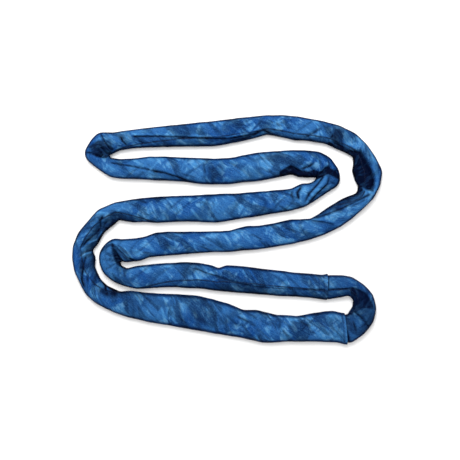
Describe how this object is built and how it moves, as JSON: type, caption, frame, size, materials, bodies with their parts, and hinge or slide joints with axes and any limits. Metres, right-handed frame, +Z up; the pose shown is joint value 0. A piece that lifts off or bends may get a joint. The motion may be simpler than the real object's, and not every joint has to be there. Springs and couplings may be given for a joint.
{
  "type": "round sling",
  "caption": "Endless polyester lifting sling laid flat in a doubled S, with an eye at each end for a hook or shackle and a stitched joint in its woven sleeve.",
  "frame": {"origin": "middle of the footprint, on the surface that the sling lies on", "axes": "+X along the lanes, +Y across them towards eye A, +Z up"},
  "size_m": [1.0826, 0.7945, 0.0414],
  "materials": {
    "sleeve_fabric": "blue woven polyester with a slight sheen, patchy where the nap is pressed",
    "joint_fabric": "the same blue woven polyester",
    "thread": "blue bonded polyester sewing thread",
    "core_yarn": "off-white high-tenacity polyester yarn",
    "tape": "cream cotton binding tape"
  },
  "bodies": {
    "root": {"sleeve": "sleeve_fabric", "joint_sleeve": "joint_fabric", "hem_stitching_1": "thread", "hem_stitching_2": "thread", "side_seam_stitching": "thread", "joint_seam_stitching": "thread", "core_tape": "tape", "core_hank_01": "core_yarn", "core_hank_02": "core_yarn", "core_hank_03": "core_yarn", "core_hank_04": "core_yarn", "core_hank_05": "core_yarn", "core_hank_06": "core_yarn", "core_hank_07": "core_yarn", "core_hank_08": "core_yarn", "core_hank_09": "core_yarn", "core_hank_10": "core_yarn", "core_hank_11": "core_yarn", "core_hank_12": "core_yarn"}
  },
  "joints": []
}
